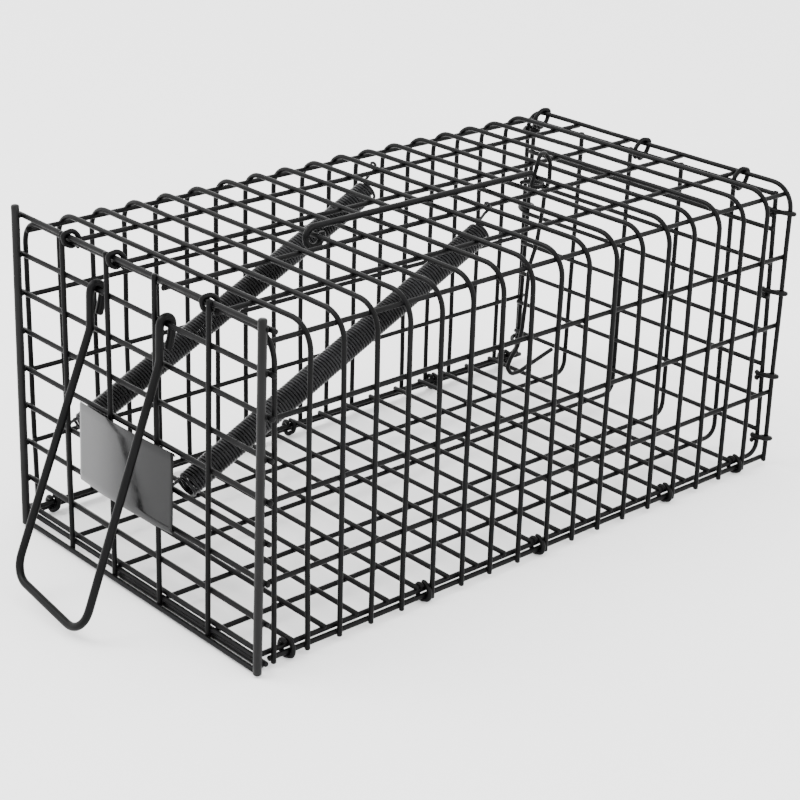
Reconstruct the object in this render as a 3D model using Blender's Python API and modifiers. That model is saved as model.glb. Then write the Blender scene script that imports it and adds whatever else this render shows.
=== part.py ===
"""Live catch cage trap: a folded wire-mesh cage with a sprung front door, set by a latch rod and a bait hook.

The door is at the front, towards -Y. Z is up, and the cage stands on its hog rings at Z = 0.
"""
import math

import bmesh
import bpy
from mathutils import Vector

# ---------------------------------------------------------------- driving dimensions, in metres
WIRE_R = 0.0008            # mesh wire radius
MESH_FACETS = 6            # sides of a mesh wire; it has hundreds of crossings
LAYER = 0.0012             # distance between the two layers of crossing mesh wires, which are welded
CELL = 0.028               # long side of a mesh cell
HOOP_PITCH = 0.0138        # short side of a mesh cell
HOOP_COUNT = 19
CLEAR = 0.0003             # running clearance between wires that touch

CAGE_HALF_WIDTH = 2.5 * CELL
CAGE_HEIGHT = 4.0 * CELL
BOTTOM_Z = 0.002872        # centre of the lowest side wires above the ground
FRONT_Y = -0.10504         # plane of the front hoop
REAR_Y = FRONT_Y + (HOOP_COUNT - 1) * HOOP_PITCH
ROOF_Z = BOTTOM_Z + CAGE_HEIGHT
CORNER_R = 0.009           # bend radius of the hoops at the roof edges
HOOP_TAIL = 0.0015         # hoop ends below the lowest side wires
SIDE_TAIL = 0.0014         # ends of the long wires past the end hoops

FLOOR_Z = BOTTOM_Z + 0.0019
FLOOR_HALF_WIDTH = 0.0676
FLOOR_COLUMNS = (-1.0, -0.574, -0.152, 0.266, 0.680, 1.0)   # long wires, as shares of the half width
FLOOR_FRONT = FRONT_Y - 0.0038
FLOOR_FRONT_WIRE = FRONT_Y - 0.0041   # cross wire along the floor's front edge
FLOOR_FIRST_ROW = FRONT_Y + 0.0087
FLOOR_ROWS = 17
SHEET_TAIL = 0.0010        # ends of the cross wires past the edge wires
BACK_Y = REAR_Y - 0.0022   # plane of the back panel's upright wires
BACK_TOP_Z = ROOF_Z - 0.0033
BACK_PITCH = 0.01372
BACK_ROWS = 8
BACK_LEAN_IN = 0.0034
FLOOR_BEND_R = 0.005

DOOR_ROW = 0.0141          # pitch of the door's level wires
DOOR_ROWS = 9
DOOR_LEAN = math.radians(1.8)
DOOR_AXIS_Y = FRONT_Y - 0.0017
DOOR_AXIS_Z = ROOF_Z + 0.0020
DOOR_RIGHT_REACH = 0.0730
DOOR_UPRIGHTS = ((-0.0415, -0.0370), (-0.0153, -0.0105), (0.0120, 0.0160), (0.0412, 0.0432))
DOOR_BARS = ((-0.0686, -0.0656), (0.0696, 0.0714))   # X at the top and bottom: the door is a little racked
DOOR_BAR_R = 0.00145
DOOR_SILL_R = 0.00135
DOOR_SILL_LEFT = -0.0120
DOOR_TAIL = 0.0040         # ends of the door's upright wires below its lowest level wire
DOOR_TOP_TAIL = 0.0014
DOOR_LOW_WIRE_DROP = 0.0026    # extra wire in front of the uprights, below the lowest level wire
DOOR_LOW_WIRE_OUT = 1.97 * LAYER
DOOR_LEFT_TAIL = 0.0016    # ends of the level wires past the left bar
DOOR_BAR_TOP = 0.0040      # the side bars stand above the hinge axis

PLATE_X = (-0.0288, 0.0252)
PLATE_BOW = 0.0012
PLATE_THICKNESS = 0.0005
PLATE_OFFSET = 0.0008      # middle of the sheet in front of the uprights' faces
PLATE_FOLD = (0.0012, 0.0009)   # height and depth of the folded-back edges
PLATE_COLUMNS = 8

HANDLE_R = 0.0014
HANDLE_EYES_X = (-0.0227, 0.0170)
HANDLE_LEGS = (0.0894, 0.0926)   # slanted lengths: bent by hand, so the right leg is a little longer
HANDLE_SPLAY = (0.0, 0.0034)     # how far each leg drifts sideways on its way down
HANDLE_NECK = 0.0130       # straight part below each eye, which lies against the door
HANDLE_KICK = math.radians(20.5)
HANDLE_EYE_TAIL = 0.0050
HANDLE_CORNER_R = 0.008

SPRING_X = (-0.0446, 0.0180)
SPRING_R = 0.0038          # mean radius of the coil
SPRING_WIRE_R = 0.0005
SPRING_ROOF_HOOP = 10      # hoop that the springs hang from
SPRING_DOOR_ROW = 3        # level wire of the door that they pull
SPRING_ROOF_DROP = 0.0070  # coil axis below the roof wire, square to the pull
SPRING_DOOR_DROP = 0.0058
SPRING_END = 0.0070        # from each wire to the coil's first turn
SPRING_HOOK_R = 0.0005

ROD_X = 0.0045
ROD_R = 0.0012
ROD_HOOP = 5
ROD_LENGTH = 0.1056
ROD_EYE_R = 0.0037

BAIT_X = 0.0030
BAIT_R = 0.0008
BAIT_HOOP = 13
BAIT_RING_R = 0.0043

RING_WIRE_R = 0.0009
RING_HALF_WIDTH = 0.0032
RING_GAP = math.radians(16.0)  # half of the gap between a ring's ends
RING_STEPS = 11

POWDER_COAT = (0.022, 0.022, 0.024)
BAR_COAT = (0.045, 0.045, 0.047)
PLATE_COAT = (0.14, 0.14, 0.145)
SPRING_STEEL = (0.060, 0.060, 0.064)
RING_STEEL = (0.028, 0.028, 0.030)


# ---------------------------------------------------------------- scene set-up and materials
def clear_scene():
    for obj in list(bpy.data.objects):
        bpy.data.objects.remove(obj, do_unlink=True)


def new_collection(name):
    collection = bpy.data.collections.new(name)
    bpy.context.scene.collection.children.link(collection)
    return collection


def coated(name, colour, roughness, metallic):
    material = bpy.data.materials.new(name)
    material.use_nodes = True
    shader = material.node_tree.nodes["Principled BSDF"]
    shader.inputs["Base Color"].default_value = (*colour, 1.0)
    shader.inputs["Roughness"].default_value = roughness
    shader.inputs["Metallic"].default_value = metallic
    material.diffuse_color = (*colour, 1.0)
    return material


def finish(obj, material, parent=None):
    obj.data.materials.clear()
    obj.data.materials.append(material)
    if parent is not None:
        obj.parent = parent
    return obj


def pivot(name, location, rotation=(0.0, 0.0, 0.0), parent=None):
    empty = bpy.data.objects.new(name, None)
    empty.location = location
    empty.rotation_euler = rotation
    empty.empty_display_size = 0.01
    empty.parent = parent
    PARTS.objects.link(empty)
    return empty


# ---------------------------------------------------------------- wire tools
def wire_curve(name, paths, radius, facets=8):
    """Round wires along point lists: one curve object, one open spline for each list."""
    curve = bpy.data.curves.new(name, "CURVE")
    curve.dimensions = "3D"
    curve.bevel_depth = radius
    curve.bevel_resolution = facets // 2 - 2
    curve.use_fill_caps = True
    for path in paths:
        spline = curve.splines.new("POLY")
        spline.points.add(len(path) - 1)
        for point, place in zip(spline.points, path):
            point.co = (*place, 1.0)
        spline.use_smooth = True
    obj = bpy.data.objects.new(name, curve)
    PARTS.objects.link(obj)
    return obj


def wire_mesh(name, paths, radius, facets=8):
    """The same wires as one mesh with welded end caps."""
    curve_obj = wire_curve(name + "_curve", paths, radius, facets)
    bpy.context.view_layer.update()
    evaluated = curve_obj.evaluated_get(bpy.context.evaluated_depsgraph_get())
    mesh = bpy.data.meshes.new_from_object(evaluated)
    mesh.name = name
    weld = bmesh.new()
    weld.from_mesh(mesh)
    bmesh.ops.remove_doubles(weld, verts=weld.verts, dist=1e-6)
    weld.to_mesh(mesh)
    weld.free()
    obj = bpy.data.objects.new(name, mesh)
    PARTS.objects.link(obj)
    obj.matrix_world = curve_obj.matrix_world.copy()
    bpy.data.objects.remove(curve_obj, do_unlink=True)
    mesh.shade_smooth()
    mesh.set_sharp_from_angle(angle=math.radians(50.0))
    return obj


def weld_to(obj, other):
    """Join a crossing layer of wires to the first: a Boolean union that stays on the object."""
    other.hide_render = True
    other.display_type = "WIRE"
    PARTS.objects.unlink(other)
    CUTTERS.objects.link(other)
    union = obj.modifiers.new("weld", "BOOLEAN")
    union.operation = "UNION"
    union.solver = "EXACT"
    union.object = other
    return obj


def welded_mesh(name, first_layer, second_layer, facets=MESH_FACETS):
    first = wire_mesh(name, first_layer, WIRE_R, facets)
    return weld_to(first, wire_mesh(name + "_crossing", second_layer, WIRE_R, facets))


def arc(centre, radius, start, end, steps, to_point):
    """Points on an arc in a plane; to_point turns the plane's two coordinates into a 3-D point."""
    points = []
    for step in range(steps + 1):
        angle = start + (end - start) * step / steps
        points.append(to_point(centre[0] + radius * math.cos(angle), centre[1] + radius * math.sin(angle)))
    return points


# ---------------------------------------------------------------- cage: roof and sides, floor and back
def hoop_path(y):
    """One inverted-U wire: up the left side, across the roof and down the right side."""
    def place(x, z):
        return (x, y, z)

    low = BOTTOM_Z - HOOP_TAIL
    inner = CAGE_HALF_WIDTH - CORNER_R
    bend_z = ROOF_Z - CORNER_R
    left = arc((-inner, bend_z), CORNER_R, math.pi, math.pi / 2, 4, place)
    right = arc((inner, bend_z), CORNER_R, math.pi / 2, 0.0, 4, place)
    return [place(-CAGE_HALF_WIDTH, low), *left, *right, place(CAGE_HALF_WIDTH, low)]


def long_wire_places():
    """X and Z of the cage's fourteen long wires, inside the hoops."""
    side = CAGE_HALF_WIDTH - LAYER
    corner_reach = CAGE_HALF_WIDTH - CORNER_R + (CORNER_R - LAYER) * math.cos(math.pi / 4)
    corner_z = ROOF_Z - CORNER_R + (CORNER_R - LAYER) * math.sin(math.pi / 4)
    places = [(sign * side, BOTTOM_Z + row * CELL) for sign in (-1, 1) for row in range(4)]
    places += [(sign * corner_reach, corner_z) for sign in (-1, 1)]
    places += [(column * CELL, ROOF_Z - LAYER) for column in (-1.5, -0.5, 0.5, 1.5)]
    return places


def make_cage_body(material):
    hoops = [hoop_path(FRONT_Y + index * HOOP_PITCH) for index in range(HOOP_COUNT)]
    long_wires = [[(x, FRONT_Y - SIDE_TAIL, z), (x, REAR_Y + SIDE_TAIL, z)] for x, z in long_wire_places()]
    return finish(welded_mesh("roof_and_sides_mesh", hoops, long_wires), material)


def back_edge_x(z):
    """The back panel narrows upwards to tuck inside the roof corners."""
    return FLOOR_HALF_WIDTH - BACK_LEAN_IN * max(0.0, z - FLOOR_Z) / (BACK_TOP_Z - FLOOR_Z)


def make_floor_and_back(material):
    """One sheet: the floor's long wires bend up to become the back panel's uprights."""
    bend_y = BACK_Y - FLOOR_BEND_R
    bend_z = FLOOR_Z + FLOOR_BEND_R
    top_z = BACK_TOP_Z + WIRE_R
    long_wires = []
    for share in FLOOR_COLUMNS:
        bend = arc((bend_y, bend_z), FLOOR_BEND_R, -math.pi / 2, 0.0, 4,
                   lambda y, z, share=share: (share * back_edge_x(z), y, z))
        long_wires.append([(share * FLOOR_HALF_WIDTH, FLOOR_FRONT, FLOOR_Z), *bend,
                           (share * back_edge_x(top_z), BACK_Y, top_z)])
    level = []
    for y in [FLOOR_FRONT_WIRE] + [FLOOR_FIRST_ROW + index * HOOP_PITCH for index in range(FLOOR_ROWS)]:
        reach = FLOOR_HALF_WIDTH + SHEET_TAIL
        level.append([(-reach, y, FLOOR_Z + LAYER), (reach, y, FLOOR_Z + LAYER)])
    for index in range(BACK_ROWS):
        z = BACK_TOP_Z - index * BACK_PITCH
        reach = back_edge_x(z) + SHEET_TAIL
        level.append([(-reach, BACK_Y - LAYER, z), (reach, BACK_Y - LAYER, z)])
    return finish(welded_mesh("floor_and_back_mesh", long_wires, level), material)


# ---------------------------------------------------------------- hog rings
def make_ring(name, first, second, along, opening, material):
    """A crimped C-ring round two wires. Its small gap faces the opening direction."""
    first, second, along = Vector(first), Vector(second), Vector(along)
    centre = (first + second) / 2
    u = (second - first).normalized()
    v = along.cross(u).normalized()
    major = (second - first).length / 2 + WIRE_R + CLEAR + RING_WIRE_R
    minor = min(major, RING_HALF_WIDTH)
    gap_angle = math.atan2(Vector(opening).dot(v), Vector(opening).dot(u))
    path = []
    for step in range(RING_STEPS + 1):
        angle = gap_angle + RING_GAP + 2 * (math.pi - RING_GAP) * step / RING_STEPS
        path.append(tuple(centre + u * (major * math.cos(angle)) + v * (minor * math.sin(angle))))
    ring = wire_curve(name, [path], RING_WIRE_R)
    for point in ring.data.splines[0].points:
        point.tilt = math.pi / 8
    return finish(ring, material)


def make_hog_rings(material):
    side = CAGE_HALF_WIDTH - LAYER
    floor_rings = {"right": (0.0066, 0.0664, 0.12165, 0.1906, 0.2320), "left": (0.0053, 0.1170, 0.1956, 0.2390)}
    for side_name, sign in (("right", 1), ("left", -1)):
        for number, from_front in enumerate(floor_rings[side_name], start=1):
            y = FRONT_Y + from_front
            make_ring("floor_ring_%s_%d" % (side_name, number), (sign * side, y, BOTTOM_Z),
                      (sign * FLOOR_HALF_WIDTH, y, FLOOR_Z), (0, 1, 0), (0, 0, 1), material)
    back_rings = {"right": (0.0085, 0.0350, 0.0695, 0.1015), "left": (0.0085, 0.0695, 0.1035)}
    for side_name, sign in (("right", 1), ("left", -1)):
        for number, height in enumerate(back_rings[side_name], start=1):
            z = BOTTOM_Z + height
            make_ring("back_side_ring_%s_%d" % (side_name, number), (sign * CAGE_HALF_WIDTH, REAR_Y, z),
                      (sign * back_edge_x(z), BACK_Y, z), (0, 0, 1), (-sign, -1, 0), material)
    for number, x in enumerate((-0.0606, -0.0042, 0.0466), start=1):
        make_ring("back_top_ring_%d" % number, (x, REAR_Y, ROOF_Z), (x, BACK_Y - LAYER, BACK_TOP_Z),
                  (1, 0, 0), (0, -1, -1), material)
    for number, x in enumerate((-0.0392, -0.0125, 0.0386), start=1):
        make_ring("hinge_ring_%d" % number, (x, FRONT_Y, ROOF_Z), (x, DOOR_AXIS_Y, DOOR_AXIS_Z),
                  (1, 0, 0), (0, 1, -1), material)


# ---------------------------------------------------------------- door
def door_row_z(row):
    """Height of a level wire below the hinge axis; row 0 is the lowest."""
    return -(DOOR_ROWS - 1 - row) * DOOR_ROW


def racked_x(ends, z):
    """X of a door upright at a height below the hinge axis."""
    return ends[0] + (ends[1] - ends[0]) * z / door_row_z(0)


def make_door(material, bar_material, door):
    """Mesh with the level wires behind the uprights, a bar down each side and a bar along the bottom."""
    low, high = door_row_z(0) - DOOR_TAIL, DOOR_TOP_TAIL
    levels = []
    for row in range(DOOR_ROWS):
        z = door_row_z(row)
        levels.append([(racked_x(DOOR_BARS[0], z) - DOOR_LEFT_TAIL, 0.0, z), (DOOR_RIGHT_REACH, 0.0, z)])
    wire_z = door_row_z(0) - DOOR_LOW_WIRE_DROP
    ends = [racked_x(bar, wire_z) for bar in DOOR_BARS]
    inset = DOOR_BAR_R + CLEAR
    levels.append([(ends[0] + inset, -DOOR_LOW_WIRE_OUT, wire_z), (ends[1] - inset, -DOOR_LOW_WIRE_OUT, wire_z)])
    uprights = [[(racked_x(column, low), -LAYER, low), (racked_x(column, high), -LAYER, high)]
                for column in DOOR_UPRIGHTS]
    finish(welded_mesh("door_mesh", levels, uprights, 8), material, door)
    bpy.data.objects["door_mesh_crossing"].parent = door
    bar_y = -(WIRE_R + DOOR_BAR_R + CLEAR)
    low, high = low + 0.0004, DOOR_BAR_TOP
    for name, bar in zip(("door_left_bar", "door_right_bar"), DOOR_BARS):
        path = [(racked_x(bar, low), bar_y, low), (racked_x(bar, high), bar_y, high)]
        finish(wire_mesh(name, [path], DOOR_BAR_R), bar_material, door)
    sill_y = DOOR_SILL_R + CLEAR - LAYER + WIRE_R
    sill_z = door_row_z(0) - WIRE_R - DOOR_SILL_R - CLEAR
    sill = [(DOOR_SILL_LEFT, sill_y, sill_z), (ends[1] - inset - 0.0006, sill_y, sill_z)]
    finish(wire_mesh("door_bottom_bar", [sill], DOOR_SILL_R), bar_material, door)


def make_door_plate(material, door):
    """A bowed sheet plate in front of the uprights, with its top and bottom edges folded back."""
    low, high = door_row_z(2) - 0.0002, door_row_z(4) + 0.0006
    left, right = PLATE_X
    front = -(LAYER + WIRE_R + PLATE_OFFSET)
    fold, depth = PLATE_FOLD
    rows = [(high - fold, front + depth), (high, front), (low, front), (low + fold, front + depth)]
    mesh = bpy.data.meshes.new("door_plate")
    sheet = bmesh.new()
    grid = []
    for z, y in rows:
        line = []
        for column in range(PLATE_COLUMNS + 1):
            across = column / PLATE_COLUMNS
            x = left + (right - left) * across
            line.append(sheet.verts.new((x, y - PLATE_BOW * math.sin(math.pi * across), z)))
        grid.append(line)
    for upper, lower in zip(grid, grid[1:]):
        for column in range(PLATE_COLUMNS):
            sheet.faces.new((upper[column], lower[column], lower[column + 1], upper[column + 1]))
    sheet.to_mesh(mesh)
    sheet.free()
    plate = bpy.data.objects.new("door_plate", mesh)
    PARTS.objects.link(plate)
    thickness = plate.modifiers.new("sheet", "SOLIDIFY")
    thickness.thickness = PLATE_THICKNESS
    thickness.offset = 0.0
    thickness.use_even_offset = True
    return finish(plate, material, door)


def make_handle(material, handle):
    """A U-shaped bail. Each leg ends in an eye bent round the door's second level wire. Below the eyes
    the legs lie flat on the door, then kick outwards, so that fingers can get behind the crossbar."""
    eye_r = WIRE_R + CLEAR + HANDLE_R

    def side(x, length, splay, inward):
        """From the open end of the eye, down the leg and round the corner."""
        kick = Vector((splay / length, -math.sin(HANDLE_KICK), -math.cos(HANDLE_KICK)))
        tail = (x, eye_r * 0.75, -HANDLE_EYE_TAIL)
        eye = arc((0.0, 0.0), eye_r, 0.0, math.pi, 8, lambda y, z: (x, y, z))
        knee = Vector((x, -eye_r, -HANDLE_NECK))
        corner = []
        for step in range(6):
            turn = math.pi / 2 * step / 5
            across = inward * HANDLE_CORNER_R * (1.0 - math.cos(turn))
            along = length - HANDLE_CORNER_R * (1.0 - math.sin(turn))
            corner.append(tuple(knee + kick * along + Vector((across, 0.0, 0.0))))
        return [tail, *eye, tuple(knee), *corner]

    left = side(HANDLE_EYES_X[0], HANDLE_LEGS[0], HANDLE_SPLAY[0], 1)
    right = side(HANDLE_EYES_X[1], HANDLE_LEGS[1], HANDLE_SPLAY[1], -1)
    return finish(wire_mesh("set_handle", [[*left, *reversed(right)]], HANDLE_R), material, handle)


# ---------------------------------------------------------------- springs
def spring_line():
    """Roof pivot, door wire centre, and the coil's two end points, in the YZ plane at rest."""
    roof = Vector((0.0, FRONT_Y + SPRING_ROOF_HOOP * HOOP_PITCH, ROOF_Z))
    row_z = door_row_z(SPRING_DOOR_ROW)
    door = Vector((0.0, DOOR_AXIS_Y + row_z * math.sin(DOOR_LEAN), DOOR_AXIS_Z + row_z * math.cos(DOOR_LEAN)))
    pull = (door - roof).normalized()
    below = Vector((0.0, -pull.z, pull.y))
    if below.z > 0:
        below = -below
    coil_roof = roof + pull * SPRING_END + below * SPRING_ROOF_DROP
    coil_door = door - pull * SPRING_END + below * SPRING_DOOR_DROP
    return roof, door, coil_roof, coil_door, pull, below


def make_coil(name, x, coil_roof, coil_door, material, parent):
    """The close-wound body: a thin open-ended sleeve of the coil's outer size, turned on its axis."""
    length = (coil_door - coil_roof).length
    outer, inner = SPRING_R + SPRING_WIRE_R, SPRING_R - SPRING_WIRE_R
    profile = [(outer, length), (outer, 0.0), (inner, 0.0), (inner, length)]
    mesh = bpy.data.meshes.new(name)
    outline = bmesh.new()
    verts = [outline.verts.new((px, 0.0, pz)) for px, pz in profile]
    for first, second in zip(verts, verts[1:] + verts[:1]):
        outline.edges.new((first, second))
    outline.to_mesh(mesh)
    outline.free()
    obj = bpy.data.objects.new(name, mesh)
    PARTS.objects.link(obj)
    turn = obj.modifiers.new("turn", "SCREW")
    turn.steps = 20
    turn.render_steps = 20
    turn.use_merge_vertices = True
    turn.merge_threshold = 0.00001
    turn.use_smooth_shade = True
    direction = (coil_door - coil_roof).normalized()
    obj.rotation_mode = "QUATERNION"
    obj.rotation_quaternion = Vector((0.0, 0.0, 1.0)).rotation_difference(direction)
    obj.location = Vector((x, coil_roof.y, coil_roof.z)) - parent.location
    return finish(obj, material, parent)


def make_hook(name, x, wire, coil_end, outward, below, material, parent):
    """A spring's end hook: most of a turn round the wire, then a tail to the coil's end turn."""
    eye_r = WIRE_R + CLEAR + SPRING_HOOK_R
    points = []
    for step in range(9):
        angle = math.radians(-120.0 + 210.0 * step / 8)
        points.append(wire + outward * (eye_r * math.cos(angle)) - below * (eye_r * math.sin(angle)))
    points.reverse()
    tail = coil_end + outward * (SPRING_HOOK_R + CLEAR)
    points += [tail - below * (SPRING_R * 0.6), tail + below * (SPRING_R * 0.9)]
    path = [tuple(Vector((x, point.y, point.z)) - parent.location) for point in points]
    return finish(wire_mesh(name, [path], SPRING_HOOK_R), material, parent)


def make_springs(material):
    """Two extension springs from one roof wire to the inside of the door."""
    roof, door, coil_roof, coil_door, pull, below = spring_line()
    for side, x in zip(("left", "right"), SPRING_X):
        anchor = pivot("%s_spring_pivot" % side, (x, roof.y, roof.z))
        make_coil("%s_spring_coil" % side, x, coil_roof, coil_door, material, anchor)
        make_hook("%s_spring_roof_hook" % side, x, roof, coil_roof, -pull, below, material, anchor)
        lower = pivot("%s_spring_end" % side, (x, door.y, door.z))
        make_hook("%s_spring_door_hook" % side, x, door, coil_door, pull, below, material, lower)


# ---------------------------------------------------------------- setting gear
def make_latch_rod(material):
    """A straight rod that lies on the roof, with a loose eye round one hoop at its front end."""
    anchor = pivot("latch_rod_pivot", (ROD_X, FRONT_Y + ROD_HOOP * HOOP_PITCH, ROOF_Z))
    line_z = WIRE_R + CLEAR + ROD_R + 0.0007
    eye = arc((0.0, line_z - ROD_EYE_R), ROD_EYE_R, 0.1 * math.pi, -1.5 * math.pi, 12, lambda y, z: (0.0, y, z))
    path = [*eye, (0.0, ROD_LENGTH, line_z)]
    return finish(wire_mesh("latch_rod", [path], ROD_R), material, anchor)


def make_bait_hook(material):
    """A wire hook that straddles one roof wire, tied shut below it by a flat ring. Its leg hangs into
    the cage and ends in a prong for the bait."""
    anchor = pivot("bait_hook_pivot", (BAIT_X, FRONT_Y + BAIT_HOOP * HOOP_PITCH, ROOF_Z))
    front_y = -(WIRE_R + BAIT_R + 0.0006)
    ring_z = -0.0042
    ring = arc((front_y + 0.0018 - BAIT_RING_R, front_y + BAIT_RING_R), BAIT_RING_R, 1.15 * math.pi, -0.28 * math.pi,
               12, lambda x, y: (x, y, ring_z))
    crown = [(0.0018, front_y, 0.0060), (0.0012, -0.0006, 0.0093), (0.0004, 0.0030, 0.0093),
             (0.0, 0.0066, 0.0052)]
    leg = [(0.0, 0.0067, -0.0022), (0.0, 0.0046, -0.0062), (0.0, 0.0040, -0.0130), (0.0, 0.0015, -0.0272),
           (0.0, -0.0016, -0.0350), (0.0, -0.0026, -0.0500), (0.0, -0.0038, -0.0612), (0.0, -0.0058, -0.0675),
           (0.0, -0.0093, -0.0715)]
    curl = [(0.0, -0.0110, -0.0750), (0.0, -0.0085, -0.0782), (0.0, -0.0040, -0.0784), (0.0, 0.0010, -0.0768),
            (0.0, 0.0140, -0.0732)]
    return finish(wire_mesh("bait_hook", [[*ring, *crown, *leg, *curl]], BAIT_R), material, anchor)


# ---------------------------------------------------------------- build
clear_scene()
PARTS = new_collection("live_catch_trap")
CUTTERS = new_collection("cutters")
BLACK = coated("black_powder_coat", POWDER_COAT, 0.38, 0.0)
BARS = coated("grey_black_coat", BAR_COAT, 0.36, 0.0)
PLATE = coated("plate_coat", PLATE_COAT, 0.30, 0.2)
SPRING = coated("spring_steel", SPRING_STEEL, 0.35, 0.8)
RINGS = coated("ring_steel", RING_STEEL, 0.45, 0.3)

make_cage_body(BLACK)
make_floor_and_back(BLACK)
make_hog_rings(RINGS)
DOOR_PIVOT = pivot("door_pivot", (0.0, DOOR_AXIS_Y, DOOR_AXIS_Z), (-DOOR_LEAN, 0.0, 0.0))
make_door(BLACK, BARS, DOOR_PIVOT)
make_door_plate(PLATE, DOOR_PIVOT)
HANDLE_PIVOT = pivot("handle_pivot", (0.0, 0.0, door_row_z(7)), parent=DOOR_PIVOT)
make_handle(BLACK, HANDLE_PIVOT)
make_springs(SPRING)
make_latch_rod(BLACK)
make_bait_hook(BLACK)
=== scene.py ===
import math

import bmesh
import bpy
import numpy as np
from mathutils import Euler, Matrix, Vector


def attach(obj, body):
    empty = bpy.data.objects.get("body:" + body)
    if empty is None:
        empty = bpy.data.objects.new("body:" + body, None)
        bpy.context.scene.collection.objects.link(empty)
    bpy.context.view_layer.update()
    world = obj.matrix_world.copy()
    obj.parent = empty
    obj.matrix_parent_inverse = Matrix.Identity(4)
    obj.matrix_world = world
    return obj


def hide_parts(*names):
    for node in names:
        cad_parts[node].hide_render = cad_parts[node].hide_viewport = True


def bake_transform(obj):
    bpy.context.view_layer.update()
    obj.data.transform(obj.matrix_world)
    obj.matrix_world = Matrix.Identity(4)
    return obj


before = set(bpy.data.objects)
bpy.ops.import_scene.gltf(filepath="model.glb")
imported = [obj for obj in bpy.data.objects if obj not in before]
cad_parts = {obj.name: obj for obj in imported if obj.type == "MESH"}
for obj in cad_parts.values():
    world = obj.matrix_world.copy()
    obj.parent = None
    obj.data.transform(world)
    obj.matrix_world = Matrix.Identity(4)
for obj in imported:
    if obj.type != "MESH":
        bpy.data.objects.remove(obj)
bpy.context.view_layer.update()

# ---------------------------------------------------------------- dimensions, in metres
WIRE_R = 0.00094            # mesh wire with its coating
LAYER = 0.0012              # between the two layers of crossing wires
CELL = 0.028                # long side of a mesh cell
PITCH = 0.0138              # short side
HOOPS = 19
HALF_WIDTH = 2.5 * CELL
FRONT_Y = -0.10504          # front hoop
BOTTOM_Z = 0.002872         # lowest side wires
REAR_Y = FRONT_Y + (HOOPS - 1) * PITCH
ROOF_Z = BOTTOM_Z + 4 * CELL
CORNER_R = 0.009
FLOOR_Z = BOTTOM_Z + 0.0019
FLOOR_HALF = 0.0676
FLOOR_COLUMNS = (-1.0, -0.574, -0.152, 0.266, 0.680, 1.0)
BACK_Y = REAR_Y - 0.0022
BACK_TOP_Z = ROOF_Z - 0.0033
DOOR_Y, DOOR_Z = FRONT_Y - 0.0017, ROOF_Z + 0.0020
DOOR_ROW = 0.0141
DOOR_LEAN = math.radians(1.8)
UPRIGHTS = ((-0.0415, -0.0370), (-0.0153, -0.0105), (0.0120, 0.0160), (0.0412, 0.0432))
BARS = ((-0.0686, -0.0656), (0.0696, 0.0714))
BAR_R = 0.00145
HANDLE_R = 0.0014
HANDLE_LEGS = (0.0894, 0.0926)
SPRING_X = (-0.0446, 0.0180)
NOISE = np.random.default_rng(7)


# ---------------------------------------------------------------- wire tools
def resample(points, step):
    """Points evenly spaced along a polyline, about step apart, both ends kept."""
    points = np.array(points, float)
    lengths = np.r_[0, np.cumsum(np.linalg.norm(np.diff(points, axis=0), axis=1))]
    count = max(2, int(round(lengths[-1] / step)) + 1)
    at = np.linspace(0, lengths[-1], count)
    return np.stack([np.interp(at, lengths, points[:, i]) for i in range(3)], 1)


def smooth_path(points, step, rounds=2):
    """A polyline with its corners eased by averaging, its ends kept."""
    path = resample(points, step)
    for _ in range(rounds):
        path[1:-1] = (path[:-2] + 2 * path[1:-1] + path[2:]) / 4
    return path


def waver(path, size, wavelength=0.03):
    """Hand-bent wire is never quite straight: slow sideways drift, none of it sudden."""
    length = np.r_[0, np.cumsum(np.linalg.norm(np.diff(path, axis=0), axis=1))]
    for axis in range(3):
        for scale, share in ((1.0, 0.7), (0.43, 0.3)):
            phase, turns = NOISE.uniform(0, 6.28), NOISE.uniform(0.8, 1.2)
            path[:, axis] += size * share * np.sin(length / (wavelength * scale) * turns + phase)
    return path


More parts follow.
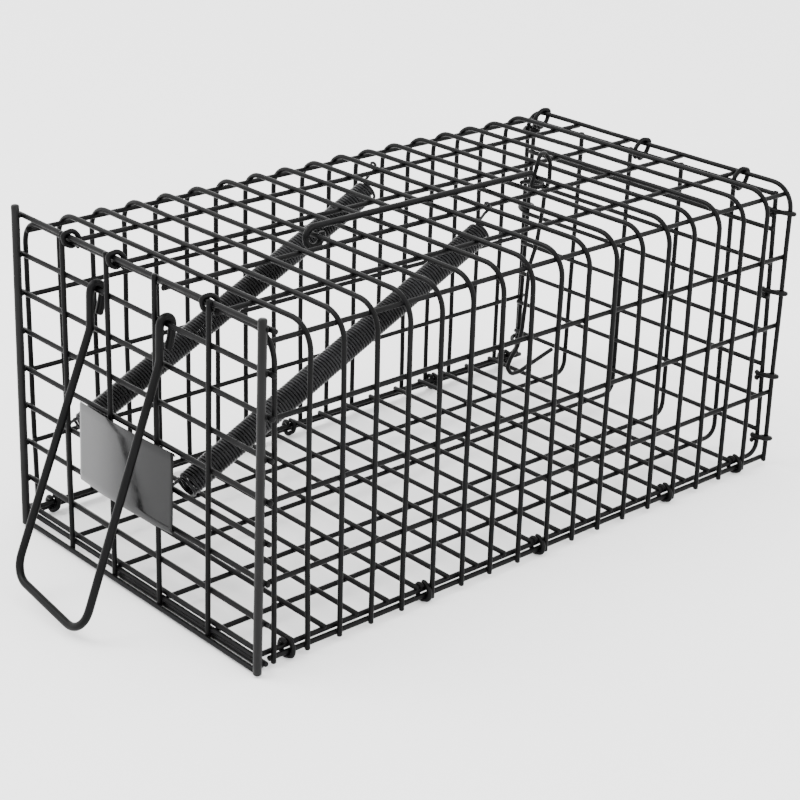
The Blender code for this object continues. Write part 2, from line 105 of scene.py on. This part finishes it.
class Wires:
    """Collects round wires and weld blobs into one smooth mesh."""

    def __init__(self):
        self.verts, self.faces = [], []

    def add(self, path, radius, sides=12):
        """A round wire along a path, its rings carried along without twist."""
        path = np.array(path, float)
        tangents = np.gradient(path, axis=0)
        tangents /= np.linalg.norm(tangents, axis=1)[:, None]
        side = np.cross(tangents[0], (0.31, 0.17, 0.93))
        if np.linalg.norm(side) < 0.2:
            side = np.cross(tangents[0], (0.93, 0.17, 0.31))
        side /= np.linalg.norm(side)
        angles = np.arange(sides) * 2 * math.pi / sides
        profile = []
        for place, tangent in zip(path, tangents):
            side = side - tangent * np.dot(side, tangent)
            side /= np.linalg.norm(side)
            profile.append((place, side, np.cross(tangent, side), radius))
        head = self.rounded_end(profile[0], tangents[0])
        tail = self.rounded_end(profile[-1], -tangents[-1])[::-1]
        profile = head + profile[1:-1] + tail
        base = len(self.verts)
        for place, side, other, size in profile:
            for angle in angles:
                self.verts.append(place + (side * math.cos(angle) + other * math.sin(angle)) * size)
        last = len(profile) - 1
        for ring in range(last):
            for k in range(sides):
                n = (k + 1) % sides
                self.faces.append((base + ring * sides + k, base + ring * sides + n,
                                   base + (ring + 1) * sides + n, base + (ring + 1) * sides + k))
        self.faces.append([base + k for k in reversed(range(sides))])
        self.faces.append([base + last * sides + k for k in range(sides)])

    @staticmethod
    def rounded_end(ring, inwards):
        """Three rings that round off the end of a wire, from the tip inwards."""
        place, side, other, radius = ring
        shape = ((0.0, 0.62), (0.12, 0.86), (0.34, 1.0))
        return [(place + inwards * radius * back, side, other, radius * size) for back, size in shape]

    def blob(self, centre, radii, turns=8, rings=5):
        """A small smooth ellipsoid, as the coating that fills a weld."""
        base = len(self.verts)
        centre = np.array(centre, float)
        for ring in range(1, rings):
            polar = math.pi * ring / rings
            for k in range(turns):
                angle = 2 * math.pi * k / turns
                unit = (math.sin(polar) * math.cos(angle), math.sin(polar) * math.sin(angle), math.cos(polar))
                self.verts.append(centre + np.multiply(unit, radii))
        self.verts.append(centre + (0, 0, radii[2]))
        self.verts.append(centre - (0, 0, radii[2]))
        top, bottom = len(self.verts) - 2, len(self.verts) - 1
        for ring in range(rings - 2):
            for k in range(turns):
                n = (k + 1) % turns
                self.faces.append((base + ring * turns + k, base + (ring + 1) * turns + k,
                                   base + (ring + 1) * turns + n, base + ring * turns + n))
        for k in range(turns):
            n = (k + 1) % turns
            self.faces.append((top, base + k, base + n))
            self.faces.append((bottom, base + (rings - 2) * turns + n, base + (rings - 2) * turns + k))

    def piece(self, name, material, transform=None):
        """The collected wires as one object."""
        mesh = bpy.data.meshes.new(name)
        mesh.from_pydata([tuple(v) for v in self.verts], [], self.faces)
        if transform is not None:
            mesh.transform(transform)
        mesh.validate()
        mesh.shade_smooth()
        mesh.set_sharp_from_angle(angle=math.radians(70))
        obj = bpy.data.objects.new(name, mesh)
        bpy.context.scene.collection.objects.link(obj)
        mesh.materials.append(material)
        return obj


def turn(centre, radius, start, end, to_point, step=0.0004):
    """Points of an arc in a plane; angles in degrees."""
    count = max(3, int(abs(math.radians(end - start)) * radius / step))
    angles = np.radians(np.linspace(start, end, count + 1))
    return [to_point(centre[0] + radius * math.cos(a), centre[1] + radius * math.sin(a)) for a in angles]


# ---------------------------------------------------------------- materials
def nodes_of(name):
    material = bpy.data.materials.new(name)
    material.use_nodes = True
    tree = material.node_tree
    return material, tree, tree.nodes["Principled BSDF"]


def link(tree, source, output, target, socket):
    tree.links.new(source.outputs[output], target.inputs[socket])


def noise(tree, scale, detail=3.0, roughness=0.5):
    place = tree.nodes.new("ShaderNodeTexCoord")
    texture = tree.nodes.new("ShaderNodeTexNoise")
    texture.inputs["Scale"].default_value = scale
    texture.inputs["Detail"].default_value = detail
    texture.inputs["Roughness"].default_value = roughness
    link(tree, place, "Object", texture, "Vector")
    return texture


def spread(tree, source, low, high, output="Fac"):
    """Noise turned into a number between low and high."""
    ramp = tree.nodes.new("ShaderNodeMapRange")
    ramp.inputs["From Min"].default_value = 0.35
    ramp.inputs["From Max"].default_value = 0.65
    ramp.inputs["To Min"].default_value = low
    ramp.inputs["To Max"].default_value = high
    link(tree, source, output, ramp, "Value")
    return ramp


def blend_colour(tree, source, dark, light):
    mix = tree.nodes.new("ShaderNodeMix")
    mix.data_type = "RGBA"
    mix.inputs["A"].default_value = (*dark, 1)
    mix.inputs["B"].default_value = (*light, 1)
    link(tree, source, "Result", mix, "Factor")
    return mix


def coated(name, dark, light, roughness, metallic=0.0, grain=0.00003, specular=0.5):
    """Powder coat or blackened steel: slightly mottled colour and gloss, with a fine orange-peel surface."""
    material, tree, shader = nodes_of(name)
    mottle = spread(tree, noise(tree, 55.0), 0.0, 1.0)
    colour = blend_colour(tree, mottle, dark, light)
    tree.links.new(colour.outputs["Result"], shader.inputs["Base Color"])
    gloss = spread(tree, noise(tree, 140.0), roughness[0], roughness[1])
    link(tree, gloss, "Result", shader, "Roughness")
    shader.inputs["Metallic"].default_value = metallic
    shader.inputs["Specular IOR Level"].default_value = specular
    peel = noise(tree, 1900.0, 2.0)
    waves = noise(tree, 420.0, 2.0)
    add = tree.nodes.new("ShaderNodeMath")
    add.operation = "ADD"
    link(tree, peel, "Fac", add, 0)
    link(tree, waves, "Fac", add, 1)
    bump = tree.nodes.new("ShaderNodeBump")
    bump.inputs["Strength"].default_value = 0.55
    bump.inputs["Distance"].default_value = grain
    link(tree, add, "Value", bump, "Height")
    link(tree, bump, "Normal", shader, "Normal")
    return material


def plate_coat():
    """Grey sheet, shiny enough to mirror the handle. Its colour holds a painted reflection: lighter on the left,
    darker towards its right-hand side.
    """
    material, tree, shader = nodes_of("plate_coat")
    place = tree.nodes.new("ShaderNodeTexCoord")
    parts = tree.nodes.new("ShaderNodeSeparateXYZ")
    link(tree, place, "Object", parts, "Vector")
    # painted reflection: the base colour ramps from light grey on the left to near black on the right, standing
    # in for bright and dark surroundings seen in the sheet
    across = tree.nodes.new("ShaderNodeMapRange")
    across.interpolation_type = "SMOOTHSTEP"
    across.inputs["From Min"].default_value = -0.022
    across.inputs["From Max"].default_value = 0.006
    link(tree, parts, "X", across, "Value")
    colour = blend_colour(tree, across, (0.056, 0.056, 0.057), (0.006, 0.006, 0.0064))
    tree.links.new(colour.outputs["Result"], shader.inputs["Base Color"])
    gloss = spread(tree, noise(tree, 160.0), 0.10, 0.20)
    link(tree, gloss, "Result", shader, "Roughness")
    shader.inputs["Metallic"].default_value = 0.75
    bump = tree.nodes.new("ShaderNodeBump")
    bump.inputs["Strength"].default_value = 0.25
    bump.inputs["Distance"].default_value = 0.00004
    link(tree, noise(tree, 300.0, 2.0), "Fac", bump, "Height")
    link(tree, bump, "Normal", shader, "Normal")
    return material


BLACK = coated("black_powder_coat", (0.0006, 0.0006, 0.0007), (0.0016, 0.0016, 0.0018),
               (0.34, 0.48), specular=0.09)
# door bars: the black coat made lighter grey, a painted reflection of the pale floor and white surroundings
BAR_COAT_PAINTED_REFLECTION = coated("grey_black_coat", (0.0014, 0.0014, 0.0015), (0.0036, 0.0036, 0.0038),
                  (0.34, 0.44), specular=0.15)
PLATE_COAT_PAINTED_REFLECTION = plate_coat()
SPRING_STEEL = coated("spring_steel", (0.002, 0.002, 0.0022), (0.016, 0.016, 0.017),
                      (0.22, 0.36), 0.5, specular=0.18)
RING_STEEL = coated("ring_steel", (0.0006, 0.0006, 0.0007), (0.002, 0.002, 0.0022),
                    (0.36, 0.50), specular=0.09)


# ---------------------------------------------------------------- cage
def hoop(y):
    """An inverted-U wire: up the left side, across the roof and down the right side."""
    low = BOTTOM_Z - 0.0015
    inner, bend_z = HALF_WIDTH - CORNER_R, ROOF_Z - CORNER_R
    left = turn((-inner, bend_z), CORNER_R, 180, 90, lambda x, z: (x, y, z), 0.0012)
    right = turn((inner, bend_z), CORNER_R, 90, 0, lambda x, z: (x, y, z), 0.0012)
    return [(-HALF_WIDTH, y, low), *left, *right, (HALF_WIDTH, y, low)]


def long_wire_places():
    """X and Z of the fourteen long wires inside the hoops."""
    side = HALF_WIDTH - LAYER
    diagonal = (CORNER_R - LAYER) * math.cos(math.pi / 4)
    places = [(sign * side, BOTTOM_Z + row * CELL) for sign in (-1, 1) for row in range(4)]
    places += [(sign * (HALF_WIDTH - CORNER_R + diagonal), ROOF_Z - CORNER_R + diagonal) for sign in (-1, 1)]
    return places + [(column * CELL, ROOF_Z - LAYER) for column in (-1.5, -0.5, 0.5, 1.5)]


def weld_centre(x, z):
    """Centre of a weld between a hoop and a long wire at X, Z: half a layer outwards."""
    half = LAYER / 2
    if abs(x) > HALF_WIDTH - CORNER_R * 0.9 and z > ROOF_Z - CORNER_R:
        return x + math.copysign(half * 0.707, x), z + half * 0.707
    if abs(x) > HALF_WIDTH - 2 * LAYER:
        return x + math.copysign(half, x), z
    return x, z + half


def make_cage():
    wires = Wires()
    for index in range(HOOPS):
        path = waver(smooth_path(hoop(FRONT_Y + index * PITCH), 0.0012, 1), 0.00015, 0.02)
        wires.add(path, WIRE_R)
    for x, z in long_wire_places():
        path = resample([(x, FRONT_Y - 0.0014, z), (x, REAR_Y + 0.0014, z)], 0.004)
        wires.add(waver(path, 0.00012), WIRE_R)
        for index in range(HOOPS):
            wx, wz = weld_centre(x, z)
            size = NOISE.uniform(0.98, 1.18)
            wires.blob((wx, FRONT_Y + index * PITCH, wz), (0.00102 * size, 0.00112 * size, 0.00102 * size))
    piece = wires.piece("roof_and_sides", BLACK)
    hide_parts("roof_and_sides_mesh")
    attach(piece, "cage")


def back_edge_x(z):
    """The back panel narrows upwards."""
    return FLOOR_HALF - 0.0034 * max(0.0, z - FLOOR_Z) / (BACK_TOP_Z - FLOOR_Z)


def make_floor_and_back():
    wires = Wires()
    bend_r = 0.005
    top_z = BACK_TOP_Z + 0.0008
    for share in FLOOR_COLUMNS:
        bend = turn((BACK_Y - bend_r, FLOOR_Z + bend_r), bend_r, -90, 0,
                    lambda y, z: (share * back_edge_x(z), y, z), 0.0008)
        path = [(share * FLOOR_HALF, FRONT_Y - 0.0038, FLOOR_Z), *bend,
                (share * back_edge_x(top_z), BACK_Y, top_z)]
        wires.add(waver(smooth_path(path, 0.0015, 1), 0.00007), WIRE_R)
    rows = [(FRONT_Y - 0.0041, FLOOR_Z + LAYER)]
    rows += [(FRONT_Y + 0.0087 + index * PITCH, FLOOR_Z + LAYER) for index in range(17)]
    rows += [(BACK_Y - LAYER, BACK_TOP_Z - index * 0.01372) for index in range(8)]
    for y, z in rows:
        on_floor = z < FLOOR_Z + 2 * LAYER
        edge = FLOOR_HALF if on_floor else back_edge_x(z)
        path = resample([(-edge - 0.001, y, z), (edge + 0.001, y, z)], 0.004)
        wires.add(waver(path, 0.00007), WIRE_R)
        for share in FLOOR_COLUMNS:
            size = NOISE.uniform(0.92, 1.12)
            middle = (share * edge, y, z - LAYER / 2) if on_floor else (share * edge, y + LAYER / 2, z)
            wires.blob(middle, (0.00108 * size, 0.00104 * size, 0.00104 * size))
    piece = wires.piece("floor_and_back", BLACK)
    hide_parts("floor_and_back_mesh")
    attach(piece, "cage")


# ---------------------------------------------------------------- hog rings
def make_ring(name, first, second, along, opening):
    """A hog ring crimped round two wires, a little dented, with its ends lapped past each other."""
    first, second, along = (np.array(v, float) for v in (first, second, along))
    centre, apart = (first + second) / 2, np.linalg.norm(second - first)
    u = (second - first) / apart
    v = np.cross(along, u)
    v /= np.linalg.norm(v)
    major = apart / 2 + 0.0018
    minor = min(major, 0.0024)
    gap = math.atan2(np.dot(opening, v), np.dot(opening, u))
    path = []
    for step in range(61):
        angle = gap - math.radians(24) + (2 * math.pi + math.radians(48)) * step / 60
        skew = along * 0.00105 * math.cos((angle - gap) / 2)
        dent = 1 + 0.05 * math.sin(3 * angle + 9 * first[0]) + 0.03 * math.sin(5 * angle)
        path.append(centre + (u * major * math.cos(angle) + v * minor * math.sin(angle)) * dent + skew)
    wires = Wires()
    wires.add(path, 0.00092)
    piece = wires.piece(name + "_seen", RING_STEEL)
    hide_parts(name)
    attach(piece, "cage")


def make_rings():
    side = HALF_WIDTH - LAYER
    floor_rings = {"right": (0.0066, 0.0664, 0.12165, 0.1906, 0.2320),
                   "left": (0.0053, 0.1170, 0.1956, 0.2390)}
    back_rings = {"right": (0.0085, 0.0350, 0.0695, 0.1015), "left": (0.0085, 0.0695, 0.1035)}
    for side_name, sign in (("right", 1), ("left", -1)):
        for number, from_front in enumerate(floor_rings[side_name], start=1):
            y = FRONT_Y + from_front
            make_ring("floor_ring_%s_%d" % (side_name, number), (sign * side, y, BOTTOM_Z),
                      (sign * FLOOR_HALF, y, FLOOR_Z), (0, 1, 0), (0, 0, 1))
        for number, height in enumerate(back_rings[side_name], start=1):
            z = BOTTOM_Z + height
            make_ring("back_side_ring_%s_%d" % (side_name, number), (sign * HALF_WIDTH, REAR_Y, z),
                      (sign * back_edge_x(z), BACK_Y, z), (0, 0, 1), (-sign, -1, 0))
    for number, x in enumerate((-0.0606, -0.0042, 0.0466), start=1):
        make_ring("back_top_ring_%d" % number, (x, REAR_Y, ROOF_Z), (x, BACK_Y - LAYER, BACK_TOP_Z),
                  (1, 0, 0), (0, -1, -1))
    for number, x in enumerate((-0.0392, -0.0125, 0.0386), start=1):
        make_ring("hinge_ring_%d" % number, (x, FRONT_Y, ROOF_Z), (x, DOOR_Y, DOOR_Z), (1, 0, 0), (0, 1, -1))


# ---------------------------------------------------------------- door
DOOR_FRAME = Matrix.Translation((0, DOOR_Y, DOOR_Z)) @ Matrix.Rotation(-DOOR_LEAN, 4, "X")


def row_z(row):
    """Height of a level door wire below the hinge axis; row 0 is the lowest."""
    return -(8 - row) * DOOR_ROW


def racked(ends, z):
    """X of a slanted upright at a height below the hinge axis."""
    return ends[0] + (ends[1] - ends[0]) * z / row_z(0)


def make_door():
    wires = Wires()
    low, high = row_z(0) - 0.0040, 0.0014
    for row in range(9):
        z = row_z(row)
        path = resample([(racked(BARS[0], z) - 0.0016, 0, z), (0.0730, 0, z)], 0.004)
        wires.add(waver(path, 0.00007), WIRE_R)
        for column in UPRIGHTS:
            size = NOISE.uniform(0.92, 1.12)
            wires.blob((racked(column, z), -LAYER / 2, z), (0.00108 * size, 0.00104 * size, 0.00108 * size))
        for bar in BARS:
            wires.blob((racked(bar, z), -0.0012, z), (0.0013, 0.0011, 0.0011))
    wire_z = row_z(0) - 0.0026
    ends = [racked(bar, wire_z) for bar in BARS]
    wire_y = -1.97 * LAYER
    path = resample([(ends[0] + 0.0017, wire_y, wire_z), (ends[1] - 0.0017, wire_y, wire_z)], 0.004)
    wires.add(waver(path, 0.00005), WIRE_R)
    for column in UPRIGHTS:
        path = resample([(racked(column, low), -LAYER, low), (racked(column, high), -LAYER, high)], 0.004)
        wires.add(waver(path, 0.00007), WIRE_R)
    piece = wires.piece("door_wires", BLACK, DOOR_FRAME)
    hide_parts("door_mesh")
    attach(piece, "door")
    bar_y = -(0.0008 + BAR_R + 0.0003)
    for name, bar in zip(("door_left_bar", "door_right_bar"), BARS):
        wires = Wires()
        bar_low, bar_high = low + 0.0004, 0.004
        path = resample([(racked(bar, bar_low), bar_y, bar_low), (racked(bar, bar_high), bar_y, bar_high)], 0.004)
        wires.add(waver(path, 0.00006), BAR_R + 0.00004, 16)
        piece = wires.piece(name + "_seen", BAR_COAT_PAINTED_REFLECTION, DOOR_FRAME)
        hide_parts(name)
        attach(piece, "door")
    wires = Wires()
    sill_z = row_z(0) - 0.0008 - 0.00135 - 0.0003
    wires.add(resample([(-0.0120, 0.00125, sill_z), (ends[1] - 0.00235, 0.00125, sill_z)], 0.004), 0.00137, 16)
    piece = wires.piece("door_bottom_bar_seen", BAR_COAT_PAINTED_REFLECTION, DOOR_FRAME)
    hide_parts("door_bottom_bar")
    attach(piece, "door")


def make_plate():
    """Thin sheet, bowed a little, with its top and bottom edges rolled back."""
    low, high = row_z(2) - 0.0002, row_z(4) + 0.0006
    left, right, front = -0.0288, 0.0252, -0.0028
    fold = ((0.0013, 0.0009), (0.0006, 0.0004), (0.0001, 0.0001))
    section = [(high - up, front + back) for up, back in fold]
    section += [(high - 0.0008 - (high - low - 0.0016) * i / 12, front) for i in range(13)]
    section += [(low + up, front + back) for up, back in reversed(fold)]
    columns = 40
    sheet = bmesh.new()
    grid = []
    for z, y in section:
        line = []
        for column in range(columns + 1):
            across = column / columns
            bow = 0.0012 * math.sin(math.pi * across)
            line.append(sheet.verts.new((left + (right - left) * across, y - bow, z)))
        grid.append(line)
    for upper, lower in zip(grid, grid[1:]):
        for column in range(columns):
            sheet.faces.new((upper[column], lower[column], lower[column + 1], upper[column + 1]))
    mesh = bpy.data.meshes.new("door_plate_seen")
    sheet.to_mesh(mesh)
    sheet.free()
    mesh.transform(DOOR_FRAME)
    piece = bpy.data.objects.new("door_plate_seen", mesh)
    bpy.context.scene.collection.objects.link(piece)
    mesh.materials.append(PLATE_COAT_PAINTED_REFLECTION)
    thick = piece.modifiers.new("sheet", "SOLIDIFY")
    thick.thickness, thick.offset = 0.0005, 0.0
    edge = piece.modifiers.new("edge", "BEVEL")
    edge.width, edge.segments, edge.limit_method, edge.angle_limit = 0.00015, 2, "ANGLE", math.radians(50)
    mesh.shade_smooth()
    mesh.set_sharp_from_angle(angle=math.radians(40))
    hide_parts("door_plate")
    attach(piece, "door")


def make_handle():
    """U-shaped bail: two eyes on a level wire, straight necks, then legs that kick outwards."""
    eye_r = 0.0008 + 0.0003 + HANDLE_R
    corner_r = 0.008

    def side(x, length, splay, inward):
        kick = np.array((splay / length, -math.sin(math.radians(20.5)), -math.cos(math.radians(20.5))))
        eye = turn((0, 0), eye_r, 0, 180, lambda y, z: (x, y, z))
        knee = np.array((x, -eye_r, -0.013))
        corner = []
        for step in range(13):
            angle = math.pi / 2 * step / 12
            across = inward * corner_r * (1 - math.cos(angle))
            corner.append(tuple(knee + kick * (length - corner_r * (1 - math.sin(angle))) + (across, 0, 0)))
        tail = [(x, eye_r * 0.35, -0.0090), (x, eye_r * 0.70, -0.0060), (x, eye_r * 0.95, -0.0025)]
        return [*tail, *eye, tuple(knee), *corner]

    left, right = side(-0.0227, HANDLE_LEGS[0], 0.0, 1), side(0.0170, HANDLE_LEGS[1], 0.0034, -1)
    wires = Wires()
    wires.add(smooth_path([*left, *reversed(right)], 0.0007, 5), HANDLE_R + 0.00003, 18)
    pivot = DOOR_FRAME @ Matrix.Translation((0, 0, row_z(7)))
    piece = wires.piece("set_handle_seen", BLACK, pivot)
    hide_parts("set_handle")
    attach(piece, "handle")


# ---------------------------------------------------------------- springs
def spring_line():
    """Roof wire, door wire and the coil's two ends in the YZ plane, the pull and the side below it."""
    roof = np.array((0.0, FRONT_Y + 10 * PITCH, ROOF_Z))
    z = row_z(3)
    door = np.array((0.0, DOOR_Y + z * math.sin(DOOR_LEAN), DOOR_Z + z * math.cos(DOOR_LEAN)))
    pull = (door - roof) / np.linalg.norm(door - roof)
    below = np.array((0.0, -pull[2], pull[1]))
    coil_roof = roof + pull * 0.0070 + below * 0.0070
    coil_door = door - pull * 0.0070 + below * 0.0058
    return roof, door, coil_roof, coil_door, pull, below


def make_spring(side, x):
    """A close-wound coil that stretches between its two ends, and a hook at each."""
    roof, door, start, end, pull, below = spring_line()
    shift = np.array((x, 0.0, 0.0))
    axis = (end - start) / np.linalg.norm(end - start)
    length = np.linalg.norm(end - start)
    mean_r, wire_r, coil_pitch = 0.0040, 0.00054, 0.00116
    across = np.array((1.0, 0.0, 0.0))
    other = np.cross(axis, across)
    turns = length / coil_pitch
    count = int(turns * 20)
    steps = np.arange(count + 1) / count
    angles = steps * turns * 2 * math.pi
    path = (start + shift + np.outer(steps * length, axis)
            + mean_r * (np.outer(np.cos(angles), across) + np.outer(np.sin(angles), other)))
    wires = Wires()
    wires.add(path, wire_r, 8)
    coil = wires.piece(side + "_coil", SPRING_STEEL)
    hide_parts(side + "_spring_coil")
    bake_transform(coil)
    for name, wire, coil_end, out, body in (("roof", roof, start, -pull, side + "_spring"),
                                            ("door", door, end, pull, side + "_spring_end")):
        eye_r = 0.00178
        eye = []
        for step in range(25):
            angle = math.radians(90.0 - 210.0 * step / 24)
            eye.append(wire + out * (eye_r * math.cos(angle)) - below * (eye_r * math.sin(angle)))
        rim = coil_end + out * 0.0009
        last_turn = [rim + mean_r * (across * math.sin(a) - below * math.cos(a))
                     for a in np.radians(np.linspace(0, 300, 30))]
        points = eye + last_turn
        hook = Wires()
        hook.add(smooth_path([point + shift for point in points], 0.0003, 6), 0.00054, 10)
        piece = hook.piece("%s_%s_hook" % (side, name), SPRING_STEEL)
        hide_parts("%s_spring_%s_hook" % (side, name))
        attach(piece, body)


# ---------------------------------------------------------------- setting gear
def make_latch_rod():
    """A straight rod on the roof with a loose eye round one hoop."""
    pivot = (0.0045, FRONT_Y + 5 * PITCH, ROOF_Z)
    line_z, eye_r = 0.0008 + 0.0003 + 0.0012 + 0.0007, 0.0037
    eye = turn((0, line_z - eye_r), eye_r, 18, -270, lambda y, z: (0, y, z))
    wires = Wires()
    wires.add(smooth_path([*eye, (0, 0.1056, line_z)], 0.0006, 2), 0.00122, 14)
    piece = wires.piece("latch_rod_seen", BLACK, Matrix.Translation(pivot))
    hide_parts("latch_rod")
    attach(piece, "latch_rod")


def make_bait_hook():
    """A hook over one hoop, tied by a ring below it, with a long leg and a prong for the bait."""
    pivot = (0.003, FRONT_Y + 13 * PITCH, ROOF_Z)
    front_y, ring_z, ring_r = -0.0022, -0.0042, 0.0043
    ring = turn((front_y + 0.0018 - ring_r, front_y + ring_r), ring_r, 207, -50, lambda x, y: (x, y, ring_z))
    crown = [(0.0018, front_y, 0.0060), (0.0012, -0.0006, 0.0093), (0.0004, 0.0030, 0.0093),
             (0.0, 0.0066, 0.0052)]
    leg = [(0, 0.0067, -0.0022), (0, 0.0046, -0.0062), (0, 0.0040, -0.0130), (0, 0.0015, -0.0272),
           (0, -0.0016, -0.0350), (0, -0.0026, -0.0500), (0, -0.0038, -0.0612), (0, -0.0058, -0.0675),
           (0, -0.0093, -0.0715)]
    curl = [(0, -0.0110, -0.0750), (0, -0.0085, -0.0782), (0, -0.0040, -0.0784), (0, 0.0010, -0.0768),
            (0, 0.0140, -0.0732)]
    wires = Wires()
    wires.add(smooth_path([*ring, *crown, *leg, *curl], 0.0005, 6), 0.00083, 12)
    piece = wires.piece("bait_hook_seen", BLACK, Matrix.Translation(pivot))
    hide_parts("bait_hook")
    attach(piece, "bait_hook")


# ---------------------------------------------------------------- stage, light and camera
def make_stage():
    material, tree, shader = nodes_of("pale_floor")
    shader.inputs["Base Color"].default_value = (0.95, 0.95, 0.95, 1)
    shader.inputs["Roughness"].default_value = 0.9
    shader.inputs["Specular IOR Level"].default_value = 0.1
    bpy.ops.mesh.primitive_plane_add(size=12, location=(0, 0, 0))
    floor = bpy.context.object
    floor.name = "floor"
    floor.data.materials.append(material)


def add_light(name, place, target, size, power):
    data = bpy.data.lights.new(name, "AREA")
    data.shape, data.size, data.size_y, data.energy = "RECTANGLE", size[0], size[1], power
    lamp = bpy.data.objects.new(name, data)
    lamp.location = place
    lamp.rotation_euler = (Vector(target) - Vector(place)).to_track_quat("-Z", "Y").to_euler()
    bpy.context.scene.collection.objects.link(lamp)


def make_light():
    world = bpy.data.worlds.new("studio")
    bpy.context.scene.world = world
    world.use_nodes = True
    world.node_tree.nodes["Background"].inputs["Color"].default_value = (1, 1, 1, 1)
    world.node_tree.nodes["Background"].inputs["Strength"].default_value = 3.0
    add_light("key", (-0.7, -0.9, 1.5), (0, 0, 0.05), (0.9, 0.9), 26)
    add_light("side", (1.4, 0.3, 0.9), (0, 0, 0.05), (0.7, 0.9), 9)


def make_camera():
    data = bpy.data.cameras.new("camera")
    data.sensor_width, data.lens = 36.0, 89.497
    data.clip_start, data.clip_end = 0.01, 50
    camera = bpy.data.objects.new("camera", data)
    camera.location = (0.505515, -0.450248, 0.332705)
    camera.rotation_euler = Euler([math.radians(v) for v in (66.76766, -1.54958, 48.33302)])
    bpy.context.scene.collection.objects.link(camera)
    bpy.context.scene.camera = camera


make_cage()
make_floor_and_back()
make_rings()
make_door()
make_plate()
make_handle()
make_spring("left", SPRING_X[0])
make_spring("right", SPRING_X[1])
make_latch_rod()
make_bait_hook()
make_stage()
make_light()
make_camera()
